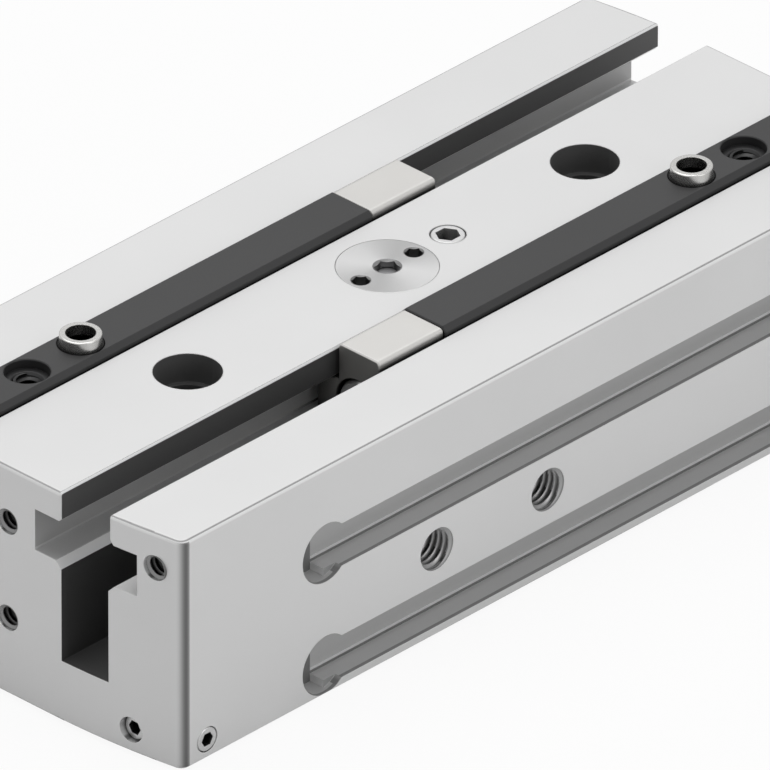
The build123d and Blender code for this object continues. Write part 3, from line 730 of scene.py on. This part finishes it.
for sideName, way in (("left", -1), ("right", 1)):
    for number, (y, rise) in enumerate(endFace["threads"]):
        mouth = (way * endFaceX(y), y * mm, topZ + rise * mm)
        pieceName = f"end_thread_{sideName}_{number + 1}"
        threadRidge(pieceName, mouth, (way, 0, 0), threads["m3"], "housing", shadedThreadMetal)

airPorts = {"stations": {"open": -0.5, "close": -17.5}, "belowTop": 17.4}
for portName, station in airPorts["stations"].items():
    mouth = (station * mm, -halfWidth, topZ - airPorts["belowTop"] * mm)
    pieceName = f"port_thread_{portName}"
    threadRidge(pieceName, mouth, (0, -1, 0), threads["m5"], "housing", shadedThreadMetal)

fingerHoles = {"stations": {"sleeve": 35.2, "screw": 43.3}, "grooveY": 11.2, "seatDepth": 1.1}
for letter, way in (("a", -1), ("b", 1)):
    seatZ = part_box(f"jaw_slide_{letter}")[1].z - fingerHoles["seatDepth"] * mm
    for holeName, station in fingerHoles["stations"].items():
        mouth = (way * station * mm, -way * fingerHoles["grooveY"] * mm, seatZ)
        pieceName = f"finger_{holeName}_thread_{letter}"
        threadRidge(pieceName, mouth, (0, 0, 1), threads["m3"], f"jaw_{letter}", tappedBlack)
print("threads cut")


# Floor, light and camera

stage = {
    "floorSize": 3.0,  # metres
    "floorDrop": 0.02 * mm,
    "floorTone": 0.97,
    "floorRoughness": 0.9,
    "floorSpecular": 0.1,
    "whiteShare": 0.92,  # how much of the floor is plain white to the eye; the rest takes the shadow
    "bounceShare": 0.08,  # the same for light that the floor throws back
    "worldOnObject": 0.42,
    "worldSeen": 1.0,
}


def makeFloor():
    mesh = bmesh.new()
    bmesh.ops.create_grid(mesh, x_segments=1, y_segments=1, size=stage["floorSize"])
    data = bpy.data.meshes.new("floor")
    mesh.to_mesh(data)
    mesh.free()
    floor = bpy.data.objects.new("floor", data)
    bpy.context.scene.collection.objects.link(floor)
    floor.location.z = -stage["floorDrop"]
    material, tree, shader = newMaterial("paleFloor")
    shader.inputs["Base Color"].default_value = (*[stage["floorTone"]] * 3, 1)
    shader.inputs["Roughness"].default_value = stage["floorRoughness"]
    shader.inputs["Specular IOR Level"].default_value = stage["floorSpecular"]
    rays = tree.nodes.new("ShaderNodeLightPath")
    glow = tree.nodes.new("ShaderNodeEmission")
    mix = tree.nodes.new("ShaderNodeMixShader")
    share = product(tree, rays.outputs["Is Camera Ray"], stage["whiteShare"] - stage["bounceShare"])
    tree.links.new(maths(tree, "ADD", share, stage["bounceShare"]), mix.inputs[0])
    tree.links.new(shader.outputs["BSDF"], mix.inputs[1])
    tree.links.new(glow.outputs["Emission"], mix.inputs[2])
    tree.links.new(mix.outputs["Shader"], tree.nodes["Material Output"].inputs["Surface"])
    data.materials.append(material)


def makeWorld():
    world = bpy.data.worlds.new("studio")
    bpy.context.scene.world = world
    world.use_nodes = True
    tree = world.node_tree
    tree.nodes.clear()
    rays = tree.nodes.new("ShaderNodeLightPath")
    seen = maths(tree, "MAXIMUM", rays.outputs["Is Camera Ray"], rays.outputs["Is Glossy Ray"])
    either = maths(tree, "MAXIMUM", seen, rays.outputs["Is Transmission Ray"])
    strength = ranged(tree, either, (0.0, 1.0), (stage["worldOnObject"], stage["worldSeen"]))
    background = tree.nodes.new("ShaderNodeBackground")
    tree.links.new(strength, background.inputs["Strength"])
    output = tree.nodes.new("ShaderNodeOutputWorld")
    tree.links.new(background.outputs["Background"], output.inputs["Surface"])


lamps = {  # in metres
    "above": {"at": (0.1, 0.25, 0.8), "size": 0.7, "watts": 3.4},
    "front": {"at": (0.15, -0.9, 0.45), "size": 0.6, "watts": 1.6},
}


def makeLamps():
    for lampName, lamp in lamps.items():
        data = bpy.data.lights.new(lampName, "AREA")
        data.size = lamp["size"]
        data.energy = lamp["watts"]
        light = bpy.data.objects.new(lampName, data)
        bpy.context.scene.collection.objects.link(light)
        light.location = lamp["at"]
        light.rotation_mode = "QUATERNION"
        light.rotation_quaternion = (-Vector(lamp["at"])).to_track_quat("-Z", "Y")


# The photograph's view: a very long lens, seen from over the near left corner
cameraPlace = {
    "azimuth": 46.122,
    "elevation": 30.871,
    "roll": 0.1142,
    "lens": 1650.0,
    "sensor": 36.0,
    "pixels": 770,
    "pixelsPerMm": 9.4,
    "originPixel": (387.31, 266.13),  # where the middle of the top face lies in the picture
    "clip": (0.1, 20.0),  # metres
}


def makeCamera():
    azimuth = math.radians(cameraPlace["azimuth"])
    elevation = math.radians(cameraPlace["elevation"])
    roll = math.radians(cameraPlace["roll"])
    level = math.cos(elevation)
    back = Vector((-math.sin(azimuth) * level, -math.cos(azimuth) * level, math.sin(elevation)))
    right = Vector((math.cos(azimuth), -math.sin(azimuth), 0))
    up = back.cross(right)
    rolledRight = right * math.cos(roll) + up * math.sin(roll)
    rolledUp = up * math.cos(roll) - right * math.sin(roll)
    middle = cameraPlace["pixels"] / 2
    pixel = mm / cameraPlace["pixelsPerMm"]
    originAcross, originDown = cameraPlace["originPixel"]
    place = Vector((0, 0, topZ))
    place += back * (cameraPlace["lens"] / cameraPlace["sensor"] * cameraPlace["pixels"] * pixel)
    place += rolledRight * ((middle - originAcross) * pixel)
    place += rolledUp * ((originDown - middle) * pixel)
    data = bpy.data.cameras.new("camera")
    data.lens = cameraPlace["lens"]
    data.sensor_width = cameraPlace["sensor"]
    data.clip_start, data.clip_end = cameraPlace["clip"]
    camera = bpy.data.objects.new("camera", data)
    bpy.context.scene.collection.objects.link(camera)
    axes = Matrix((rolledRight, rolledUp, back)).transposed().to_4x4()
    camera.matrix_world = Matrix.Translation(place) @ axes
    bpy.context.scene.camera = camera


makeFloor()
makeWorld()
makeLamps()
makeCamera()
bpy.context.scene.view_settings.view_transform = "Standard"
print("stage set")
